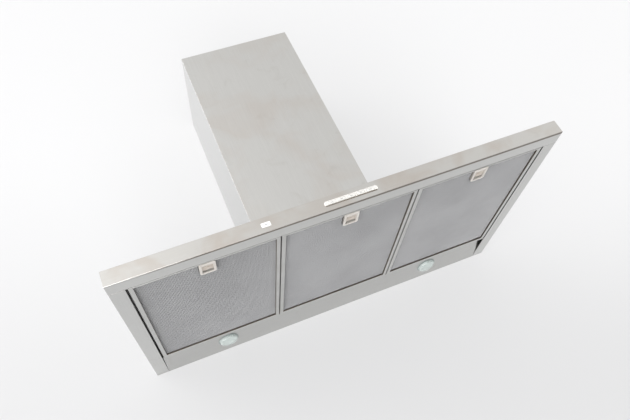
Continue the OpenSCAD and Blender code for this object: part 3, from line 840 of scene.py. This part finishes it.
# %% Latches
for side in SIDES:
    low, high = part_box(f"latch_{side}_housing")
    rounded(f"latch_{side}_housing", ivory_abs, [(None, None, low.z, 0.5 * MM)],
            burr=0.2 * MM)
    rounded(f"latch_{side}_slide", ivory_slide, burr=0.2 * MM)
    frame["nodes"][f"latch_{side}_spring"].data.materials.clear()
    frame["nodes"][f"latch_{side}_spring"].data.materials.append(spring_wire)
print("latches done")

# %% [markdown]
# ## Lamps
# Each lamp is a small capsule bulb in a spun reflector behind a pressed glass cover. The
# cover is a shallow dome with a clear rim, and a grey ring of painted shade on the rim's outer
# edge stands for the gap to the panel. It is a turned shape, so a closed profile is spun about
# the lamp's axis in 96 steps, which keeps its edge round where the CAD has flats. The lamp
# sits square to the sloping panel, so the profile is turned by the panel's own angle.

# %% Lamps
SLOPE_ANGLE = math.atan2(SLOPE_RISE, SLOPE_RUN - SHEET)
LAMP_X, LAMP_DEPTH, RIM_SHADE_RADIUS = 267 * MM, 52 * MM, 22.9 * MM


def lamp_place(side):
    """The lamp's own frame: its Z points into the canopy, square to the sloping panel."""
    rise = SLOPE_RISE * (LAMP_DEPTH - SHEET) / (SLOPE_RUN - SHEET)
    middle = Vector((side * LAMP_X, -LAMP_DEPTH, rise))
    return Matrix.Translation(middle) @ Matrix.Rotation(-SLOPE_ANGLE, 4, "X")


def arc(centre, radius, start, end, steps):
    """Points along an arc in a profile, with angles in degrees."""
    return [(centre[0] + radius * math.cos(math.radians(start + (end - start) * i / steps)),
             centre[1] + radius * math.sin(math.radians(start + (end - start) * i / steps)))
            for i in range(steps + 1)]


def spun(name, profile, side, material, steps=96):
    """Turns a closed profile of (radius, height) in millimetres about the lamp's axis."""
    shape = bmesh.new()
    ring = [shape.verts.new((r * MM, 0, z * MM)) for r, z in profile]
    edges = [shape.edges.new(pair) for pair in zip(ring, ring[1:])]
    bmesh.ops.spin(shape, geom=ring + edges, cent=(0, 0, 0), axis=(0, 0, 1),
                   angle=2 * math.pi, steps=steps, use_merge=True)
    bmesh.ops.remove_doubles(shape, verts=shape.verts, dist=0.005 * MM)
    bmesh.ops.recalc_face_normals(shape, faces=shape.faces)
    bmesh.ops.transform(shape, matrix=lamp_place(side), verts=shape.verts)
    mesh = bpy.data.meshes.new(name)
    shape.to_mesh(mesh)
    shape.free()
    mesh.shade_smooth()
    mesh.set_sharp_from_angle(angle=math.radians(35))
    mesh.materials.append(material)
    piece = bpy.data.objects.new(name, mesh)
    bpy.context.scene.collection.objects.link(piece)
    return piece


lens_outside = [(0, -6.5)] + arc((17.6, -2.4), 4.1, -90, -20, 8) + [(22.2, -1.2)]
lens_outside += arc((24.0, -0.7), 0.5, -90, 0, 3) + [(24.5, 0)]
lens_inside = [(20.2, 0)] + arc((16.5, -1.8), 2.2, -10, -90, 6) + [(0, -4)]
for side, name in ((-1, "left"), (1, "right")):
    lens = spun(f"lamp_lens_{name}_glass", lens_outside + lens_inside, side, lamp_glass)
    # The rim's outer ring gets the grey painted shade.
    lens.data.materials.append(lens_rim_shade)
    back = lamp_place(side).inverted()
    for face in lens.data.polygons:
        spot = back @ face.center
        face.material_index = int(math.hypot(spot.x, spot.y) > RIM_SHADE_RADIUS)
    stand_in(lens, f"lamp_lens_{name}")
    for part, material in (("reflector", bright_aluminium), ("socket", steatite),
                           ("bulb", bulb_glass)):
        cad = frame["nodes"][f"lamp_{part}_{name}"]
        cad.data.materials.clear()
        cad.data.materials.append(material)
rounded("lamp_transformer", black_pp, burr=1.0 * MM)
print("lamps done")

# %% [markdown]
# ## Controls
# A white ABS strip holds five keys over a small circuit board. Beside it is a blank
# paper label with a plastic coat. Moulded ABS has edges of about 0.2 mm and the strip's
# face has a rounder rim, so the CAD pieces are rounded by those amounts and nothing else.

# %% Controls
rounded("control_bezel", white_abs, [(None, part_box("control_bezel")[0].y, None, 0.6 * MM)],
        burr=0.2 * MM)
for number in range(1, 6):
    node = f"button_{number}"
    rounded(node, white_key, [(None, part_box(node)[0].y, None, 0.5 * MM)], burr=0.15 * MM)
rounded("control_board", green_board)
rounded("front_label", paper_label, burr=0.05 * MM)
print("controls done")

# %% [markdown]
# ## Blower, outlet and mains box
# These can be seen through the open back and when a filter is down. The casing and the
# scroll are galvanised sheet, spot-welded and left bare. The spigot and its two flaps are
# polypropylene. They are a long way from the eye, so the CAD shapes are kept and only their
# edges are rounded: 0.4 mm for cut sheet and up to 1.2 mm for the moulded capacitor.

# %% Blower
for node, material, burr in (
    ("blower_casing", zinc_sheet, 0.4), ("blower_back_plate", zinc_sheet, 0.4),
    ("scroll_left", zinc_sheet, 0.4), ("scroll_right", zinc_sheet, 0.4),
    ("impeller", zinc_sheet, 0.2), ("motor_shaft", ground_shaft, 0.3),
    ("motor", motor_enamel, 0.8), ("motor_bracket", zinc_sheet, 0.4),
    ("capacitor", cream_case, 1.2), ("outlet_spigot", grey_pp, 0.4),
    ("damper_flap_front", black_pp, 0.3), ("damper_flap_rear", black_pp, 0.3),
    ("terminal_box", black_pp, 0.6), ("terminal_cover", black_pp, 0.6),
    ("cable_gland", black_pp, 0.5),
):
    rounded(node, material, burr=burr * MM)
print("blower done")

# %% [markdown]
# ## Screws
# Six zinc-plated pan-head screws hold the flue's feet to the canopy. They are all alike, so
# one screw is built from a cone, a shank and a cross cut out of its head, and Geometry Nodes
# puts a copy at each place. Zinc plate is brighter and smoother than hot-dip zinc, because
# it is laid down by a current in a thin even coat.

# %% Pan-head screws
def cross_cutter(tree, given):
    """Two crossed bars that cut the recess into the top of the head."""
    cutters = tree.nodes.new("GeometryNodeJoinGeometry")
    length = add(tree, "ShaderNodeMath", {0: given["Head Radius"], 1: 1.2},
                 operation="MULTIPLY")
    height = add(tree, "ShaderNodeMath", {0: given["Slot Depth"], 1: 2.0},
                 operation="MULTIPLY")
    for across, along in ((given["Slot Width"], length), (length, given["Slot Width"])):
        bar = add(tree, "GeometryNodeMeshCube", {
            "Size": add(tree, "ShaderNodeCombineXYZ", {"X": across, "Y": along, "Z": height}),
        })
        raised = add(tree, "GeometryNodeTransform", {
            "Geometry": bar.outputs["Mesh"],
            "Translation": add(tree, "ShaderNodeCombineXYZ", {"Z": given["Head Height"]}),
        })
        tree.links.new(raised.outputs["Geometry"], cutters.inputs["Geometry"])
    return cutters.outputs["Geometry"]


def screw_tree():
    """One screw on each point of the piece's mesh, with its head's seat at the point."""
    tree = node_group("pan_head_screws", {
        "Head Radius": 0.004, "Head Height": 0.0024, "Shank Radius": 0.002,
        "Shank Length": 0.003, "Slot Width": 0.001, "Slot Depth": 0.001,
    })
    given = tree.nodes.new("NodeGroupInput").outputs
    top_radius = add(tree, "ShaderNodeMath", {0: given["Head Radius"], 1: 0.72},
                     operation="MULTIPLY")
    head = add(tree, "GeometryNodeMeshCone", {
        "Vertices": 48, "Radius Bottom": given["Head Radius"], "Radius Top": top_radius,
        "Depth": given["Head Height"],
    })
    cut = add(tree, "GeometryNodeMeshBoolean", {"Mesh 1": head.outputs["Mesh"]},
              operation="DIFFERENCE")
    tree.links.new(cross_cutter(tree, given), cut.inputs["Mesh 2"])
    shank = add(tree, "GeometryNodeMeshCylinder", {
        "Vertices": 24, "Radius": given["Shank Radius"], "Depth": given["Shank Length"],
    })
    drop = add(tree, "ShaderNodeMath", {0: given["Shank Length"], 1: -0.5},
               operation="MULTIPLY")
    lowered = add(tree, "GeometryNodeTransform", {
        "Geometry": shank.outputs["Mesh"],
        "Translation": add(tree, "ShaderNodeCombineXYZ", {"Z": drop}),
    })
    screw = tree.nodes.new("GeometryNodeJoinGeometry")
    tree.links.new(cut.outputs["Mesh"], screw.inputs["Geometry"])
    tree.links.new(lowered.outputs["Geometry"], screw.inputs["Geometry"])
    copies = add(tree, "GeometryNodeInstanceOnPoints", {
        "Points": given["Geometry"], "Instance": screw,
    })
    return close_tree(tree, given, copies)


screw_low, screw_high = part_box("canopy_screws")
HEAD_RADIUS, HEAD_HEIGHT = 4 * MM, 2.4 * MM
FRONT_FOOT_X, SIDE_FOOT_X, SIDE_FOOT_Y = 100 * MM, 138 * MM, (-200 * MM, -60 * MM)
seat = screw_high.z - HEAD_HEIGHT
seats = [(side * FRONT_FOOT_X, screw_low.y + HEAD_RADIUS, seat) for side in (-1, 1)]
seats += [(side * SIDE_FOOT_X, y, seat) for side in (-1, 1) for y in SIDE_FOOT_Y]
screws = grown("canopy_screws_pan_head", screw_tree(), {
    "Shank Length": seat - screw_low.z, "Head Radius": HEAD_RADIUS,
    "Head Height": HEAD_HEIGHT,
}, zinc_screw, seats)
stand_in(screws, "canopy_screws")
print("screws:", len(seats), "triangles:", triangles(screws))

# %% [markdown]
# ## Floor
# The hood lies on its back on a pale floor, so the floor is the wall plane. It is seen from
# its front only, so that the back of the hood can be looked at too. A lamp could light it,
# but not as evenly, so it glows faintly by itself, a little more towards the flue's top.

# %% Floor
def pale_floor():
    """A wide plane just behind the hood's back, lit faintly from inside like a light table."""
    reach, gap = 30.0, 0.5 * MM
    mesh = bpy.data.meshes.new("floor")
    mesh.from_pydata([(-reach, gap, -reach), (reach, gap, -reach), (reach, gap, reach),
                      (-reach, gap, reach)], [], [(0, 1, 2, 3)])
    floor = bpy.data.objects.new("floor", mesh)
    bpy.context.scene.collection.objects.link(floor)
    material, tree, _ = start_material("pale_floor")
    surface = add(tree, "ShaderNodeNewGeometry")
    towards_top = add(tree, "ShaderNodeVectorMath", {
        0: surface.outputs["Position"], 1: (0.3, 0.0, 1.0),
    }, operation="DOT_PRODUCT")
    matt = add(tree, "ShaderNodeBsdfPrincipled", {
        "Base Color": linear("#8D8D8E"), "Roughness": 0.8, "Specular IOR Level": 0.1,
        "Emission Color": linear("#FFFFFF"),
        "Emission Strength": add(tree, "ShaderNodeMapRange", {
            "Value": towards_top, "From Min": -0.45, "From Max": 0.65,
            "To Min": 0.42, "To Max": 0.56,
        }, interpolation_type="SMOOTHSTEP"),
    })
    ray = add(tree, "ShaderNodeLightPath").outputs["Ray Length"]
    near = add(tree, "ShaderNodeMath", {0: ray, 1: 8 * MM}, operation="LESS_THAN")
    hidden = add(tree, "ShaderNodeMath", {0: surface.outputs["Backfacing"], 1: near},
                 operation="MAXIMUM")
    add(tree, "ShaderNodeOutputMaterial", {"Surface": add(tree, "ShaderNodeMixShader", {
        0: hidden, 1: matt, 2: add(tree, "ShaderNodeBsdfTransparent"),
    })})
    mesh.materials.append(material)
    floor.visible_shadow = False
    return floor


floor = pale_floor()
print("floor normal:", tuple(floor.data.polygons[0].normal))

# %% [markdown]
# ## Light
# Brushed steel is mostly what it mirrors, so the room does most of the work: it is even and
# pale, with a soft brighter patch on each side that the front's two ends mirror, a small
# bright patch low down that draws a light line along the left of the lower fold, one up on
# the left for the flue's corner, and a dim patch that keeps the rest of the fold dark. An
# image of a studio wrapped round the scene could give the same, but plain gradients are
# easier to steer. Two large area lights add a soft fill from behind and from low left.

# %% Light
def pale_room():
    """An even pale world with soft bright patches and one dim one, each named for its use."""
    room = bpy.data.worlds.new("pale_room")
    room.use_nodes = True
    tree = room.node_tree
    tree.nodes.clear()
    way = add(tree, "ShaderNodeTexCoord").outputs["Generated"]

    def towards(direction, start, end, low, high):
        """A smooth change from low to high as a ray turns towards a direction."""
        facing = add(tree, "ShaderNodeVectorMath", {
            0: way, 1: Vector(direction).normalized(),
        }, operation="DOT_PRODUCT")
        return add(tree, "ShaderNodeMapRange", {
            "Value": facing, "From Min": start, "From Max": end,
            "To Min": low, "To Max": high,
        }, interpolation_type="SMOOTHSTEP")

    even = towards((0, -1, 0), 0.05, 0.6, 0.74, 0.94)
    front_left_glow = towards((-0.35, -0.85, 0.4), 0.84, 1.0, 0.0, 0.65)
    front_right_glow = towards((0.85, -0.5, 0.2), 0.84, 1.0, 0.0, 0.25)
    lower_fold_glow = towards((-0.2, -0.45, -0.87), 0.92, 0.98, 0.0, 5.0)
    flue_corner_glow = towards((-0.78, -0.13, 0.6), 0.86, 0.97, 0.0, 5.0)
    fill = towards((-0.6, -0.6, -0.5), 0.4, 1.0, 0.0, 0.5)
    lower_fold_shade = towards((0.45, -0.42, -0.79), 0.86, 0.98, 1.0, 0.2)
    strength = add(tree, "ShaderNodeMath", {0: even, 1: lower_fold_shade},
                   operation="MULTIPLY")
    for more in (front_left_glow, front_right_glow, lower_fold_glow, flue_corner_glow, fill):
        strength = add(tree, "ShaderNodeMath", {0: strength, 1: more}, operation="ADD")
    seen = add(tree, "ShaderNodeLightPath").outputs["Is Camera Ray"]
    light = add(tree, "ShaderNodeBackground", {
        "Color": linear("#FFFFFF"),
        "Strength": add(tree, "ShaderNodeMix", {0: seen, 2: strength, 3: 0.95}),
    })
    add(tree, "ShaderNodeOutputWorld", {"Surface": light})
    return room


bpy.context.scene.world = pale_room()


def soft_light(name, place, aim, size, power):
    """A square area light at a place, turned towards a point."""
    data = bpy.data.lights.new(name, "AREA")
    data.shape = "SQUARE"
    data.size = size
    data.energy = power
    lamp = bpy.data.objects.new(name, data)
    bpy.context.scene.collection.objects.link(lamp)
    lamp.location = place
    lamp.rotation_euler = (Vector(aim) - Vector(place)).to_track_quat("-Z", "Y").to_euler()
    return lamp


middle = (cad_box[0] + cad_box[1]) / 2
soft_light("behind", (0.5, 2.6, 1.4), middle, 3.2, 12)
soft_light("low_left", (-2.5, -1.3, -1.2), (-0.5, 0, -0.2), 1.6, 22)
bpy.context.scene.view_settings.view_transform = "Standard"

# %% [markdown]
# ## Camera
# The camera stands in front of the hood and below it, about 1.4 m from the wall plane, and
# looks at the underside through a 34 mm lens. It is turned 25 degrees, so the hood lies
# aslant, and two small shifts move the frame without changing the perspective.

# %% Camera
CAMERA_PLACE = Vector((-335.5, -1431.0, -464.8)) * MM
CAMERA_AIM = Vector((-102.1, -525.0, -6.3)) * MM
CAMERA_ROLL = math.radians(-25.28)
camera_data = bpy.data.cameras.new("camera")
camera_data.lens = 34.2
camera_data.sensor_width = 36
camera_data.shift_x = 0.0187
camera_data.shift_y = 0.0210
camera = bpy.data.objects.new("camera", camera_data)
bpy.context.scene.collection.objects.link(camera)
camera.location = CAMERA_PLACE
aim = (CAMERA_AIM - CAMERA_PLACE).to_track_quat("-Z", "Y")
camera.rotation_euler = (aim.to_matrix() @ Matrix.Rotation(CAMERA_ROLL, 3, "Z")).to_euler()
bpy.context.scene.camera = camera
print("camera", [round(v, 3) for v in camera.location])
